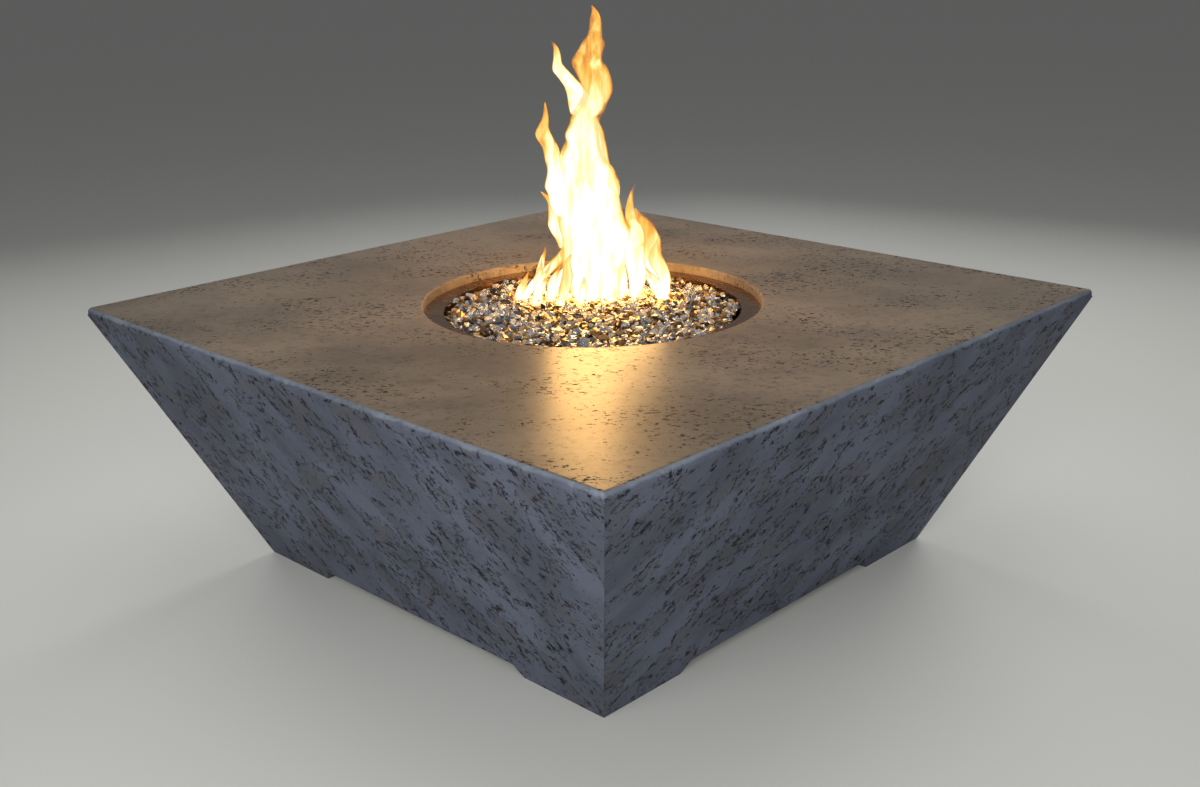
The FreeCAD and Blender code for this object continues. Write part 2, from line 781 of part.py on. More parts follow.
def control_knob():
    """Fluted hollow knob with a D-shaped socket for the stem and a groove for its pointer."""
    made = body("control_knob", on_panel(S.valve_across, 0, S.knob_gap))
    outer = S.knob_width / 2
    top = S.knob_height
    grip = fluted(sketch(made, "grip_outline", rise=5), S.knob_width - 2, S.flute_depth,
                  int(S.knob_flutes.number))
    pad(made, "grip", grip, top - 5)
    pad(made, "skirt", circle(sketch(made, "skirt_circle"), S.knob_width), 5)
    turned(made, "hollow", [(8, 0), (outer - 3, 0), (outer - 5, top - 5), (8, top - 5)], kind="Groove")
    reach = S.stem_reach - S.knob_gap
    socket = circle(sketch(made, "socket_circle"), S.stem_width + 2 * S.thread_room)
    pocket(made, "socket", socket, reach, forward=True)
    half_flat = rectangle(sketch(made, "flat_sketch"), S.stem_width, 2, 0, S.stem_width / 2)
    pad(made, "socket_flat", half_flat, reach)
    mark = rectangle(sketch(made, "mark_groove", rise=top), 2.4, 11, 0, 12)
    pocket(made, "pointer_groove", mark, sized(1))
    return made


def knob_pointer():
    """Pointer strip let into the knob's face."""
    made = body("knob_pointer", on_panel(S.valve_across, 0, S.knob_gap))
    strip = rectangle(sketch(made, "strip", rise=S.knob_height - 1), 2.4, 11, 0, 12)
    pad(made, "pointer", strip, sized(1.4))
    return made


def igniter_body():
    """Igniter housing: flange in front, barrel with the cell chamber, threaded neck for the cap."""
    made = body("igniter_body", on_panel(S.igniter_across))
    barrel = S.barrel_width / 2
    chamber = S.cell_width / 2 + S.loose
    turned(made, "housing", [
        (0, -S.barrel_length),
        (barrel, -S.barrel_length),
        (barrel, 0),
        (S.cap_width / 2 + 1, 0),
        (S.cap_width / 2 + 1, S.cap_foot),
        (barrel, S.cap_foot),
        (barrel, 6),
        (chamber, 6),
        (chamber, cell_foot),
        (0, cell_foot),
    ])
    return made


def igniter_nut():
    """Nut that pulls the housing's flange against the faceplate."""
    made = body("igniter_nut", on_panel(S.igniter_across, 0, -S.plate_thick))
    ring = hexagon(sketch(made, "nut_hexagon"), 30)
    circle(ring, S.barrel_width + 2 * S.thread_room)
    pad(made, "nut", ring, 6, down=True)
    return made


def igniter_battery():
    """One AA cell, nub outwards."""
    made = body("igniter_battery", on_panel(S.igniter_across, 0, cell_foot))
    r = S.cell_width / 2
    shoulder = S.cell_length - 1.5
    turned(made, "cell", [
        (0, 0), (r, 0), (r, shoulder), (2.75, shoulder), (2.75, S.cell_length), (0, S.cell_length),
    ])
    return made


def igniter_cap():
    """Screw cap with a fluted rim, a bore for the button and a chamber for its flange."""
    made = body("igniter_cap", on_panel(S.igniter_across, 0, S.cap_foot))
    rim = fluted(sketch(made, "rim_outline"), S.cap_width, 1, 12)
    pad(made, "rim", rim, S.cap_height)
    hole = S.button_width / 2 + S.loose
    neck = S.barrel_width / 2 + S.loose
    turned(made, "inside", [
        (0, 0),
        (neck, 0),
        (neck, 9),
        (hole, 9),
        (hole, S.cap_height),
        (0, S.cap_height),
    ], kind="Groove")
    return made


def igniter_button():
    """Push button with a flange that keeps it in the cap."""
    made = body("igniter_button", on_panel(S.igniter_across))
    r = S.button_width / 2
    top = S.button_front
    turned(made, "button", [
        (0, 9.7), (r + 0.9, 9.7), (r + 0.9, 11.2), (r, 11.2), (r, top - 1), (r - 1, top), (0, top),
    ])
    return made


def pilot_bracket():
    """Plate over the opening in the pan's floor that carries the pilot parts."""
    made = body("pilot_bracket", upright(0, S.pilot_out, pan_floor))
    plate = rectangle(sketch(made, "plate_outline"), S.bracket_wide, S.bracket_deep)
    circle(plate, 11.2)
    for side in (-1, 1):
        circle(plate, S.probe_width + 0.6, side * S.pilot_pitch)
        circle(plate, 4.3, side * S.bracket_screw)
    pad(made, "plate", plate, 1.5)
    return made


def pilot_burner():
    """Pilot barrel with a flange on the bracket and an open hood."""
    made = body("pilot_burner", upright(0, S.pilot_out, pan_floor))
    turned(made, "barrel", [
        (1.5, -S.pilot_tail), (5.5, -S.pilot_tail), (5.5, 1.5), (7.5, 1.5), (7.5, 5), (5.5, 5), (7, 34),
        (7, 46), (5.8, 46), (5.8, 34), (1.5, 32),
    ])
    slot = rectangle(sketch(made, "slot_sketch", "YZ_Plane"), 5, 8, 0, 42)
    pocket(made, "hood_window", slot)
    return made


def probe(name, side, points):
    """A thermocouple or an electrode on its place beside the pilot."""
    made = body(name, upright(side * S.pilot_pitch, S.pilot_out, pan_floor))
    r = S.probe_width / 2
    turned(made, "rod", [
        (0, -S.pilot_tail), (r, -S.pilot_tail), (r, 1.5), (4.6, 1.5), (4.6, 5), (r, 5),
    ] + points)
    return made


def thermocouple():
    """Probe with a seating collar, its tip beside the pilot flame."""
    r = S.probe_width / 2
    return probe("thermocouple", 1, [(r, 36), (2, 38), (0, 38)])


def spark_electrode():
    """Ceramic sleeve with the wire tip bent towards the pilot hood."""
    r = S.probe_width / 2
    made = probe("spark_electrode", -1, [(r, 28), (1, 30), (1, 40), (0, 40)])
    tip = circle(sketch(made, "tip_circle", "YZ_Plane"), 2, 0, 40)
    pad(made, "tip", tip, sized(6))
    return made


def inlet_fitting():
    """Flare fitting for the supply hose, screwed on the valve's inlet boss."""
    spot = on_panel(S.valve_across, -(S.valve_high / 2 + S.inlet_boss), -S.port_depth).Base
    made = body("inlet_fitting", Placement(spot, Rotation(Vector(0, 0, 1), -panel_up)))
    pad(made, "hexagon", circle(hexagon(sketch(made, "flats"), 19), 8), 8)
    turned(made, "flare", [(4, 8), (7.94, 8), (7.94, 24), (5, 27), (4, 27)])
    return made


def rounded_route(points):
    """Straight runs joined by tangent arcs, with the arcs as large as their runs allow."""
    edges = []
    radii = []
    start = points[0]
    for before, here, after in zip(points, points[1:], points[2:]):
        to_here = (here - before).normalize()
        onward = (after - here).normalize()
        half_turn = to_here.getAngle(onward) / 2
        run = 0.45 * min((here - before).Length, (after - here).Length)
        radius = run / math.tan(half_turn)
        radii.append(radius)
        enter = here - to_here * run
        leave = here + onward * run
        inward = (onward - to_here).normalize()
        middle = here + inward * radius * (1 / math.cos(half_turn) - 1)
        edges.append(Part.LineSegment(start, enter).toShape())
        edges.append(Part.Arc(enter, middle, leave).toShape())
        start = leave
    edges.append(Part.LineSegment(start, points[-1]).toShape())
    return Part.Wire(edges), radii


def routed(name, points, width, sides):
    """A hose or lead of many flat sides along a rounded route, checked by its volume."""
    path, radii = rounded_route(points)
    turn = Rotation(Vector(0, 0, 1), points[1] - points[0])
    corners = []
    for i in range(sides + 1):
        angle = 2 * math.pi * (i % sides) / sides
        corner = Vector(width / 2 * math.cos(angle), width / 2 * math.sin(angle), 0)
        corners.append(points[0] + turn.multVec(corner))
    section = Part.Face(Part.makePolygon(corners))
    shape = path.makePipe(section)
    ratio = shape.Volume / (section.Area * path.Length)
    print(f"{name}: length {path.Length:.0f}, volume ratio {ratio:.4f},",
          "radii", " ".join(f"{r:.0f}" for r in radii))
    if not near(ratio, 1):
        raise RuntimeError(f"{name}: the sweep's volume is wrong")
    return solid(name, shape)


def sagging(start, leave, end, rise, sags):
    """A route straight out of its start, down through its sags and straight up into its end.

    A sag is three shares of the span: how far along it, how far aside in x, and how far below.
    """
    clear = start + leave
    foot = end - Vector(0, 0, rise.number)
    span = foot - clear
    points = [start, clear]
    for share, aside, drop in sags:
        points.append(clear + span * share + Vector(aside, 0, -drop) * span.Length)
    return points + [foot, end]


def burner_hose():
    """Flexible hose from the valve's outlet, down and round to the orifice."""
    leave = Vector(S.hose_straight.number, 0, 0)
    points = sagging(valve_outlet(S.outlet_boss), leave, Vector(0, 0, orifice_foot.number), S.hose_rise,
                     [(0.14, 0.17, 0.07), (0.40, 0.20, 0.15), (0.68, 0.10, 0.16), (0.90, 0.01, 0.10)])
    return routed("burner_hose", points, S.hose_width.number, 12)


def pilot_foot(side=0):
    """Where a lead or tube enters the pilot group from below."""
    return Vector((S.pilot_pitch * side).number, S.pilot_out.number, (pan_floor - S.pilot_tail).number)


def pilot_tube():
    """Aluminium tube from the valve's pilot outlet up to the pilot barrel."""
    start = on_panel(S.valve_across + S.pilot_port, S.valve_high / 2 + S.pilot_boss, -S.port_depth).Base
    points = sagging(start, panel_up * S.pipe_straight.number, pilot_foot(), S.pipe_rise,
                     [(0.20, 0, -0.07), (0.45, 0, 0.03), (0.70, 0, 0.08), (0.92, 0, 0.06)])
    return routed("pilot_tube", points, S.pilot_pipe.number, 8)


LEAD_SAGS = [(0.35, 0, 0.06), (0.70, 0, 0.10), (0.93, 0, 0.07)]


def thermocouple_lead():
    """Copper lead from the magnet unit to the probe."""
    start = on_panel(S.valve_across, 0, valve_back - S.magnet_length).Base
    points = sagging(start, -panel_out * S.lead_straight.number, pilot_foot(1), S.lead_rise, LEAD_SAGS)
    return routed("thermocouple_lead", points, S.lead_width.number, 6)


def igniter_wire():
    """High-voltage wire from the igniter to the electrode."""
    start = on_panel(S.igniter_across, 0, -S.barrel_length).Base
    points = sagging(start, -panel_out * S.lead_straight.number, pilot_foot(-1), S.lead_rise, LEAD_SAGS)
    return routed("igniter_wire", points, S.lead_width.number, 6)


def facet(*corners):
    """A flat face through its corners."""
    return Part.Face(Part.makePolygon(list(corners) + [corners[0]]))


def fire_glass_bed():
    """The filling of tumbled glass: a crowned heap of facets with room for the burner and the pilot."""
    rng = random.Random(11)
    radius = S.pan_width.number / 2 - S.sheet_steel.number - 0.3
    floor = pan_floor.number + 0.1
    rim = (flange_top - S.glass_edge).number
    crown = S.glass_crown.number
    bump = S.glass_bump.number
    rings = round(radius / S.glass_pitch.number)
    grid = [[Vector(0, 0, rim + crown)]]
    for i in range(1, rings + 1):
        share = i / rings
        ring = []
        for j in range(6 * i):
            angle = 2 * math.pi * j / (6 * i)
            stands = 0 if i == rings else rng.uniform(-bump, bump)
            height = rim + crown * (1 - share ** 2) + stands
            ring.append(Vector(radius * share * math.cos(angle), radius * share * math.sin(angle), height))
        grid.append(ring)

    # The wall goes down to the pan's fold and then slants in with it.
    edge = grid[-1]
    fold = S.pan_bend.number + 1
    shoulder = [Vector(p.x, p.y, floor + fold) for p in edge]
    shrink = 1 - fold / radius
    foot = [Vector(p.x * shrink, p.y * shrink, floor) for p in edge]
    faces = [facet(*foot)]
    for j in range(len(edge)):
        k = (j + 1) % len(edge)
        faces.append(facet(edge[j], edge[k], shoulder[k], shoulder[j]))
        faces.append(facet(shoulder[j], shoulder[k], foot[k], foot[j]))

    # Each ring has six points more than the one inside it.
    for i in range(rings):
        inner, outer = grid[i], grid[i + 1]
        for sixth in range(6):
            for step in range(i + 1):
                near_side = inner[(sixth * i + step) % len(inner)]
                first = sixth * (i + 1) + step
                far_side = outer[(first + 1) % len(outer)]
                faces.append(facet(near_side, outer[first], far_side))
                if step < i:
                    faces.append(facet(near_side, far_side, inner[(sixth * i + step + 1) % len(inner)]))
    heap = Part.Solid(Part.Shell(faces))
    if heap.Volume < 0:
        heap.reverse()

    room = S.glass_room.number
    deck = burner_level.number
    hub_room = S.hub_flats.number / math.sqrt(3) + room
    hub_top = deck + S.hub_height.number / 2 + room
    cuts = [Part.makeCylinder(hub_room, hub_top - floor + 1, Vector(0, 0, floor - 1))]
    for i in range(int(S.arm_count.number)):
        angle = 2 * math.pi * i / S.arm_count.number
        along = Vector(math.cos(angle), math.sin(angle), 0)
        reach = S.arm_reach.number + room
        cuts.append(Part.makeCylinder(S.arm_width.number / 2 + room, reach, Vector(0, 0, deck), along))
    wide, deep = S.bracket_wide.number + 6, S.bracket_deep.number + 6
    corner = Vector(-wide / 2, S.pilot_out.number - deep / 2, floor - 1)
    cuts.append(Part.makeBox(wide, deep, 56, corner))
    for cut in cuts:
        heap = heap.cut(cut)
    return solid("fire_glass_bed", heap)


def check_and_write(pieces):
    """Recomputes, refuses anything failed, and writes one file for each piece."""
    doc.recompute()
    for thing in doc.Objects:
        if {"Invalid", "Error"} & set(thing.State):
            raise RuntimeError(f"{thing.Name} failed: {thing.State}")
    os.makedirs("parts", exist_ok=True)
    for piece in pieces:
        shape = piece.Shape
        if shape.isNull() or not shape.isValid() or not shape.Solids:
            raise RuntimeError(f"{piece.Label} has no valid solid")
        shape.exportStep(f"parts/{piece.Label}.step")
        print(f"{piece.Label}: {len(shape.Solids)} solid, {shape.Volume / 1000:.1f} cm3")


check_and_write([
    concrete_body(),
    burner_pan(),
    fire_glass_bed(),
    star_burner(),
    burner_nipple(),
    burner_locknuts(),
    air_mixer(),
    gas_orifice(),
    burner_hose(),
    hose_nuts(),
    valve_body(),
    valve_plug(),
    valve_stem(),
    spring("stem_spring", on_panel(S.valve_across), S.collar_width, 1, -S.plug_front, -S.collar_back),
    magnet_unit(),
    valve_screws(),
    control_knob(),
    knob_pointer(),
    control_panel(),
    panel_inserts(),
    panel_screws(),
    igniter_body(),
    igniter_nut(),
    igniter_battery(),
    igniter_cap(),
    igniter_button(),
    spring("button_spring", on_panel(S.igniter_across), 9, 0.8, -S.cell_front - 1.5, 9.7),
    igniter_wire(),
    spark_electrode(),
    pilot_bracket(),
    pilot_burner(),
    pilot_screws(),
    pilot_tube(),
    thermocouple(),
    thermocouple_lead(),
    inlet_fitting(),
])
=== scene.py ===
"""Looks of a square cast concrete fire pit table: the stone, the steel pan, the fire glass and the gas flame.

Lengths are in metres in the model's own frame: +Z up, the table's centre on the Z axis and the controls on
the +Y wall.
"""

import json
import math
import random

import bmesh
import bpy
from mathutils import Matrix, Vector, noise


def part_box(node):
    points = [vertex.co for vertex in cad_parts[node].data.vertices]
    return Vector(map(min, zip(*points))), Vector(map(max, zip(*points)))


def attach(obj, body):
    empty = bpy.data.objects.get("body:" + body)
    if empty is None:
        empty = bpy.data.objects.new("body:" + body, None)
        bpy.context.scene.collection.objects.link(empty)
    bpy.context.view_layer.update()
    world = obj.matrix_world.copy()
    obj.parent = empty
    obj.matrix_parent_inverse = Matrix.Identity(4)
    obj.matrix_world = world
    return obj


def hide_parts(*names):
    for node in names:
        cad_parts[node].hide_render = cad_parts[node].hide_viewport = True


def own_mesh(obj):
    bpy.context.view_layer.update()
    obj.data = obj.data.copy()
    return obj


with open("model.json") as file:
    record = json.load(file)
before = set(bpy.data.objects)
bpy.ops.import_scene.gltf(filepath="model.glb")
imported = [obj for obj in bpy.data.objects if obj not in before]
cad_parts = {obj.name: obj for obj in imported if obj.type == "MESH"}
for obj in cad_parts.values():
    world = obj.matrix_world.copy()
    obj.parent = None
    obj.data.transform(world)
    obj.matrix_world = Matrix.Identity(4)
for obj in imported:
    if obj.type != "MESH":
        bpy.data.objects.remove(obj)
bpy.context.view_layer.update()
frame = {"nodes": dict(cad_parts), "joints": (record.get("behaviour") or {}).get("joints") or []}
MM = 0.001

# The table's main levels and widths, as its solids have them
TOP_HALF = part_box("concrete_body")[1][0]
TABLE_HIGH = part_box("concrete_body")[1][2]
FOOT_HALF = 0.447
LIP_BASE = 0.487
WALL_LEAN = (TOP_HALF - FOOT_HALF) / LIP_BASE
RECESS_RADIUS = 0.313
BED_RADIUS = 0.2747

# How high the glass is heaped at the pan's wall and over the middle
BED_RIM = 0.484
BED_CROWN = 0.490

# Where the lip's pale band, a painted highlight, begins, and the slant of the marks on neighbouring walls in
# degrees
LIP_HIGHLIGHT = 0.4935
LEFT_SLANT = 50
RIGHT_SLANT = 34

# The photograph's viewpoint, solved from the corners of the top, the floor corners and the rim
VIEW_FROM = Vector((1.7613, -1.8014, 1.1671))
VIEW_YAW = math.radians(134.1)
VIEW_PITCH = math.radians(-18.72)
VIEW_ROLL = math.radians(-0.83)
LENS_MM = 42.13
SENSOR_MM = 36.0


def linear(code):
    """An sRGB hex colour as the linear colour that a shader takes."""
    made = []
    for place in (1, 3, 5):
        level = int(code[place:place + 2], 16) / 255
        if level <= 0.04045:
            made.append(level / 12.92)
        else:
            made.append(((level + 0.055) / 1.055) ** 2.4)
    return (*made, 1.0)


def add(tree, kind, sockets=None, stops=None, **settings):
    """A shader node with its settings, its sockets' values or links, and a ramp's stops."""
    made = tree.nodes.new("ShaderNode" + kind)
    for name, value in settings.items():
        setattr(made, name, value)
    for socket, value in (sockets or {}).items():
        if isinstance(value, bpy.types.Node):
            value = value.outputs[0]
        if isinstance(value, bpy.types.NodeSocket):
            tree.links.new(value, made.inputs[socket])
        else:
            made.inputs[socket].default_value = value
    if stops:
        ramp = made.color_ramp.elements
        while len(ramp) < len(stops):
            ramp.new(0.5)
        for stop, (place, colour) in zip(ramp, stops):
            stop.position = place
            stop.color = colour
    return made


def finish(name):
    """A new material, its empty node tree and its output node."""
    made = bpy.data.materials.new(name)
    made.use_nodes = True
    tree = made.node_tree
    tree.nodes.clear()
    return made, tree, tree.nodes.new("ShaderNodeOutputMaterial")


def surface(tree, output, sockets):
    """The principled shader of a material, joined to its output."""
    shader = add(tree, "BsdfPrincipled", sockets)
    tree.links.new(shader.outputs[0], output.inputs["Surface"])


# The viewpoint and the room

def view_axes():
    """The camera's right, up and backward directions."""
    forward = Vector((
        math.cos(VIEW_YAW) * math.cos(VIEW_PITCH),
        math.sin(VIEW_YAW) * math.cos(VIEW_PITCH),
        math.sin(VIEW_PITCH),
    ))
    level_right = forward.cross(Vector((0, 0, 1))).normalized()
    level_up = level_right.cross(forward)
    right = math.cos(VIEW_ROLL) * level_right + math.sin(VIEW_ROLL) * level_up
    up = math.cos(VIEW_ROLL) * level_up - math.sin(VIEW_ROLL) * level_right
    return right, up, -forward


def photographer():
    """The camera at the photograph's viewpoint."""
    data = bpy.data.cameras.new("photographer")
    data.sensor_width = SENSOR_MM
    data.lens = LENS_MM
    camera = bpy.data.objects.new("photographer", data)
    bpy.context.collection.objects.link(camera)
    camera.matrix_world = Matrix.Translation(VIEW_FROM) @ Matrix(view_axes()).transposed().to_4x4()
    bpy.context.scene.camera = camera


# The point that every lamp faces
LAMP_TARGET = Vector((0, 0, 0.3))


def softbox(name, place, size, power, spread=180, shiny=True):
    """A large soft lamp that points at the table and throws its light within a spread in degrees.

    One that isn't shiny leaves no reflection.
    """
    data = bpy.data.lights.new(name, "AREA")
    data.shape = "RECTANGLE"
    data.size, data.size_y = size
    data.energy = power
    data.spread = math.radians(spread)
    lamp = bpy.data.objects.new(name, data)
    bpy.context.collection.objects.link(lamp)
    lamp.location = place
    lamp.visible_glossy = shiny
    aim = LAMP_TARGET - Vector(place)
    lamp.rotation_euler = aim.to_track_quat("-Z", "Y").to_euler()


def studio():
    """A plain pale floor, an even pale surround and five soft lamps, strongest towards the near corner."""
    bm = bmesh.new()
    bmesh.ops.create_grid(bm, x_segments=1, y_segments=1, size=40)
    floor = piece_from(bm, "studio_floor")
    made, tree, output = finish("matt_floor_paint")
    # Studio floor paint: matt, even, a pale warm grey
    surface(tree, output, {"Base Color": linear("#bcbcb7"), "Roughness": 0.85})
    floor.data.materials.append(made)
    bpy.context.scene.view_settings.view_transform = "Standard"
    world = bpy.data.worlds.new("surround")
    bpy.context.scene.world = world
    world.use_nodes = True
    tree = world.node_tree
    tree.nodes.clear()
    # The camera sees the surround in the far floor's own tone, so that no horizon shows
    seen = add(tree, "LightPath").outputs["Is Camera Ray"]
    light = add(tree, "Background", {"Color": linear("#d4d6d8"), "Strength": 0.29})
    backdrop = add(tree, "Background", {"Color": linear("#605f5d"), "Strength": 1.0})
    either = add(tree, "MixShader", {0: seen, 1: light, 2: backdrop})
    tree.links.new(either.outputs[0], tree.nodes.new("ShaderNodeOutputWorld").inputs["Surface"])
    softbox("key", (1.4, -2.8, 1.4), (2.2, 1.8), 34, spread=110, shiny=False)
    softbox("right_fill", (2.9, -1.6, 1.4), (2.2, 1.8), 16, spread=110, shiny=False)
    softbox("rear_fill", (-0.9, 3.8, 1.7), (3.0, 2.0), 30, spread=70, shiny=False)
    softbox("left_fill", (-3.8, 0.9, 1.7), (3.0, 2.0), 18, spread=70, shiny=False)
    softbox("overhead", (-0.3, 0.3, 3.4), (3.2, 3.2), 21)


# Making pieces

def piece_from(bm, name, material=None, smooth=False):
    """A mesh object at the origin from a finished bmesh."""
    data = bpy.data.meshes.new(name)
    bm.to_mesh(data)
    bm.free()
    made = bpy.data.objects.new(name, data)
    bpy.context.collection.objects.link(made)
    if material:
        data.materials.append(material)
    if smooth:
        data.shade_smooth()
    return made


def dress(material, *names):
    """Gives CAD nodes their material."""
    for name in names:
        node = frame["nodes"][name]
        node.data.materials.clear()
        node.data.materials.append(material)


def joint_named(name):
    """A joint's axis, place and range."""
    return next(joint for joint in frame["joints"] if joint["name"] == name)


# The stone

# The noise level at which a browner patch of the walls begins
PATCH_EDGE = 0.53


def wall_weave(tree, place):
    """A wall's own flat plane, turned so that X runs along the slant of the cast's marks."""
    # Along every wall y - x grows away from the near or the far edge, less what the wall leans
    split = add(tree, "SeparateXYZ", {"Vector": place})
    across = add(tree, "Math", {0: split.outputs["Y"], 1: split.outputs["X"]}, operation="SUBTRACT")
    pair = add(tree, "Math", {0: across}, operation="SIGN")
    lean = add(tree, "Math", {0: split.outputs["Z"], 1: -WALL_LEAN}, operation="MULTIPLY")
    along = add(tree, "Math", {0: pair, 1: lean, 2: across}, operation="MULTIPLY_ADD")
    slope = add(tree, "Math", {0: split.outputs["Z"], 1: math.hypot(1, WALL_LEAN)}, operation="MULTIPLY")
    # x + y tells neighbouring walls apart, so that no two have the same marks
    corner = add(tree, "Math", {0: split.outputs["X"], 1: split.outputs["Y"]}, operation="ADD")
    side = add(tree, "Math", {0: corner, 1: 0.0}, operation="GREATER_THAN")
    shift = add(tree, "Math", {0: side, 1: 7.0, 2: pair}, operation="MULTIPLY_ADD")
    flat = add(tree, "CombineXYZ", {"X": along, "Y": slope, "Z": shift})
    # The marks bend by up to 30 mm over a hand's width, and their edges are ragged by up to 9 mm
    bend = add(tree, "TexNoise", {"Vector": flat, "Scale": 7.0, "Detail": 2.0})
    bent = add(tree, "MixRGB", {0: 0.03, 1: flat, 2: bend.outputs["Color"]}, blend_type="ADD")
    crumb = add(tree, "TexNoise", {"Vector": flat, "Scale": 120.0, "Detail": 3.0})
    ragged = add(tree, "MixRGB", {0: 0.009, 1: bent, 2: crumb.outputs["Color"]}, blend_type="ADD")
    slant = add(tree, "MapRange", {0: side, 3: math.radians(-LEFT_SLANT), 4: math.radians(-RIGHT_SLANT)})
    return add(tree, "VectorRotate", {"Vector": ragged, "Angle": slant}, rotation_type="Z_AXIS")


def marks(tree, place, size_mm, shift, detail=4.0, rough=0.55):
    """Uneven marks of about this length, width and depth in millimetres."""
    scaled = add(tree, "Mapping", {
        "Vector": place, "Location": (shift, shift, shift), "Scale": [1000 / size for size in size_mm],
    })
    return add(tree, "TexNoise", {"Vector": scaled, "Scale": 1.0, "Detail": detail, "Roughness": rough})


def cast_concrete():
    """Glass-fibre concrete, cast face down in a mould, its top ground and sealed.

    The eye gets matt blue-grey walls with browner patches and crumbly voids along their rims, painted near
    black as shade in the holes, a pale lip band that is a painted highlight, and a satin warm-grey top with
    short dark flecks.
    """
    made, tree, output = finish("cast_glass_fibre_concrete")
    place = add(tree, "TexCoord").outputs["Object"]
    level = add(tree, "SeparateXYZ", {"Vector": place}).outputs["Z"]
    weave = wall_weave(tree, place)
    # Walls: clouds over a hand wide, patches of about 60 to 80 mm
    cloud = marks(tree, weave, (210, 120, 1000), 1.0)
    clouds = add(tree, "MapRange", {0: cloud, 1: 0.38, 2: 0.62})
    wall = add(tree, "MixRGB", {0: clouds, 1: linear("#444853"), 2: linear("#545967")})
    patch = marks(tree, weave, (80, 62, 1000), 4.0, 5.0, 0.66)
    patches = add(tree, "MapRange", {0: patch, 1: PATCH_EDGE, 2: 0.575, 4: 0.38})
    wall = add(tree, "MixRGB", {0: patches, 1: wall, 2: linear("#46433f")})
    # Voids 7 to 19 mm long where the face mix didn't fill, most of them along the patches' rims, painted near
    # black as shade in the holes
    rim_gap = add(tree, "Math", {0: patch, 1: PATCH_EDGE}, operation="SUBTRACT")
    rim_far = add(tree, "Math", {0: rim_gap}, operation="ABSOLUTE")
    rim = add(tree, "MapRange", {0: rim_far, 1: 0.075, 2: 0.01, 4: 0.10})
    speckle = marks(tree, weave, (19, 14, 1000), 6.0, 6.0, 0.80)
    likely = add(tree, "Math", {0: speckle, 1: rim}, operation="ADD")
    large = add(tree, "MapRange", {0: likely, 1: 0.615, 2: 0.660})
    crumbs = marks(tree, weave, (8, 7, 1000), 11.0, 3.0, 0.6)
    near_rim = add(tree, "Math", {0: crumbs, 1: rim}, operation="ADD")
    small = add(tree, "MapRange", {0: near_rim, 1: 0.66, 2: 0.70, 4: 0.8})
    void_dents_and_painted_shade = add(tree, "Math", {0: large, 1: small}, operation="MAXIMUM")
    # The voids' near-black is painted shade inside the holes
    wall = add(tree, "MixRGB", {0: void_dents_and_painted_shade, 1: wall, 2: linear("#131316")})
    # Top: warm grey with faint clouds, finer grit and flecks up to about 9 mm long in loose swarms
    turned = add(tree, "Mapping", {"Vector": place, "Rotation": (0, 0, math.radians(-44))})
    drift = marks(tree, turned, (300, 210, 300), 3.0, 6.0, 0.62)
    drifts = add(tree, "MapRange", {0: drift, 1: 0.38, 2: 0.62})
    top = add(tree, "MixRGB", {0: drifts, 1: linear("#594e41"), 2: linear("#716352")})
    grit = marks(tree, turned, (16, 11, 14), 7.0, 4.0, 0.6)
    grits = add(tree, "MapRange", {0: grit, 1: 0.50, 2: 0.66, 4: 0.5})
    top = add(tree, "MixRGB", {0: grits, 1: top, 2: linear("#392f24")})
    swarm = marks(tree, turned, (170, 130, 150), 5.0, 3.0)
    swarms = add(tree, "MapRange", {0: swarm, 1: 0.40, 2: 0.58, 3: -0.05, 4: 0.05})
    fleck = marks(tree, turned, (9, 5.5, 7), 8.0, 3.0, 0.6)
    chance = add(tree, "Math", {0: fleck, 1: swarms}, operation="ADD")
    flecks = add(tree, "MapRange", {0: chance, 1: 0.630, 2: 0.652})
    top = add(tree, "MixRGB", {0: flecks, 1: top, 2: linear("#2a2219")})
    # Lip: a pale band painted as a highlight where light catches it, its lower edge uneven
    lip_highlight_clouds = add(tree, "MapRange", {0: cloud, 1: 0.40, 2: 0.65})
    lip_highlight = add(tree, "MixRGB", {0: lip_highlight_clouds, 1: linear("#5d636d"), 2: linear("#6f7680")})
    uneven = add(tree, "Math", {0: patch, 1: 0.02, 2: level}, operation="MULTIPLY_ADD")
    lip_highlight_band = add(tree, "MapRange", {0: uneven, 1: LIP_HIGHLIGHT + 0.0085, 2: LIP_HIGHLIGHT + 0.0125})
    crest = add(tree, "MapRange", {0: level, 1: TABLE_HIGH - 0.0014, 2: TABLE_HIGH - 0.0003})
    # The lip's pale band is painted highlight over the walls' colour
    colour = add(tree, "MixRGB", {0: lip_highlight_band, 1: wall, 2: lip_highlight})
    colour = add(tree, "MixRGB", {0: crest, 1: colour, 2: top})
    flat = add(tree, "VectorMath", {0: place, 1: (1, 1, 0)}, operation="MULTIPLY")
    radius = add(tree, "VectorMath", {0: flat}, operation="LENGTH").outputs["Value"]
    within = add(tree, "MapRange", {0: radius, 1: RECESS_RADIUS + 0.004, 2: RECESS_RADIUS + 0.002})
    colour = add(tree, "MixRGB", {0: within, 1: colour, 2: top})
    ground = add(tree, "Math", {0: crest, 1: within}, operation="MAXIMUM")
    unpitted = add(tree, "Math", {0: ground, 1: flecks}, operation="SUBTRACT")
    rough = add(tree, "MapRange", {0: unpitted, 3: 0.80, 4: 0.30})
    dents = add(tree, "MixRGB", {0: ground, 1: void_dents_and_painted_shade, 2: flecks})
    height = add(tree, "Math", {0: dents, 1: -0.0016}, operation="MULTIPLY")
    bump = add(tree, "Bump", {"Height": height, "Distance": 1.0, "Strength": 0.7})
    surface(tree, output, {
        "Base Color": colour, "Roughness": rough, "Normal": bump, "Specular IOR Level": 0.36,
    })
    return made


# Metals

